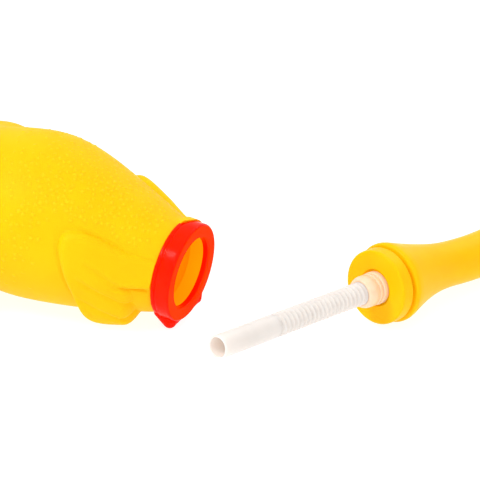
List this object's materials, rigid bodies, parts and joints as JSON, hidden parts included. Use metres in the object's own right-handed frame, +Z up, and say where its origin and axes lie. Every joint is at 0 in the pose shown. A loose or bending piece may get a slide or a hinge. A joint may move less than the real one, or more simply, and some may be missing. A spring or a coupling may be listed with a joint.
{
  "type": "squeaking rubber chicken, pulled apart",
  "caption": "Soft hollow rubber chicken lying in two halves: a body with a red collar, and a neck and head with a ringed squeaker tube that plugs into the collar.",
  "frame": {"origin": "centre of the collar's front face, on the mouth's axis", "axes": "+X out of the body's mouth over the table, +Z up, +Y to the chicken's left; the two halves lie on a table 24 mm below the origin"},
  "size_m": [0.3972, 0.2509, 0.0793],
  "materials": {
    "skin_pvc": "matt soft PVC, warm yellow with fine goose bumps",
    "neck_pvc": "soft PVC, smoother and a little glossier, orange-yellow",
    "collar_paint": "bright red glossy coat on soft PVC",
    "red_paint": "satin red paint on soft PVC",
    "orange_paint": "satin orange paint on soft PVC",
    "eye_white": "glossy white paint",
    "pupil_black": "glossy black paint",
    "squeaker_plastic": "milky translucent moulded polyethylene",
    "reed_film": "thin stiff plastic film"
  },
  "bodies": {
    "body": {"body_skin": "skin_pvc", "collar_ring": "collar_paint"},
    "left_leg": {"left_leg": "skin_pvc", "left_foot": "orange_paint"},
    "right_leg": {"right_leg": "skin_pvc", "right_foot": "orange_paint"},
    "neck": {"neck_skin": "neck_pvc"},
    "head": {"head_skin": "neck_pvc", "comb": "red_paint", "wattles": "red_paint", "upper_beak": "orange_paint", "lower_beak": "orange_paint", "tongue": "red_paint", "left_eye": "eye_white", "right_eye": "eye_white", "left_pupil": "pupil_black", "right_pupil": "pupil_black"},
    "whistle": {"whistle_barrel": "squeaker_plastic", "reed_seat": "squeaker_plastic", "reed": "reed_film", "corrugated_tube": "squeaker_plastic"},
    "tube_end": {"tube_end": "squeaker_plastic"}
  },
  "joints": [
    {"name": "neck_turn", "type": "hinge", "parent": "body", "child": "neck", "pos_m": [0.06555, -0.0039, -0.00715], "axis": [0, 0, -1], "range_deg": [-20, 72.3]},
    {"name": "whistle_pull", "type": "slide", "parent": "neck", "child": "whistle", "axis": [0.3037, 0.9518, -0.0436], "range_m": [-0.016, 0]},
    {"name": "tube_bend", "type": "hinge", "parent": "whistle", "child": "tube_end", "pos_m": [0.06242, -0.00087, -0.00545], "axis": [0.0133, 0.0416, 0.999], "range_deg": [-30, 30], "stiffness_Nm_per_rad": 0.05, "deforming": ["corrugated_tube"]},
    {"name": "head_flex", "type": "hinge", "parent": "neck", "child": "head", "pos_m": [0.11158, 0.15317, -0.01252], "axis": [0.0133, 0.0416, 0.999], "range_deg": [-30, 30], "stiffness_Nm_per_rad": 0.05},
    {"name": "left_hip", "type": "hinge", "parent": "body", "child": "left_leg", "pos_m": [-0.15097, 0.0325, -0.00161], "axis": [0, 1, 0], "range_deg": [-25, 25], "stiffness_Nm_per_rad": 0.05},
    {"name": "right_hip", "type": "hinge", "parent": "body", "child": "right_leg", "pos_m": [-0.15302, -0.02924, -0.01079], "axis": [0, 1, 0], "range_deg": [-25, 25], "stiffness_Nm_per_rad": 0.05}
  ]
}
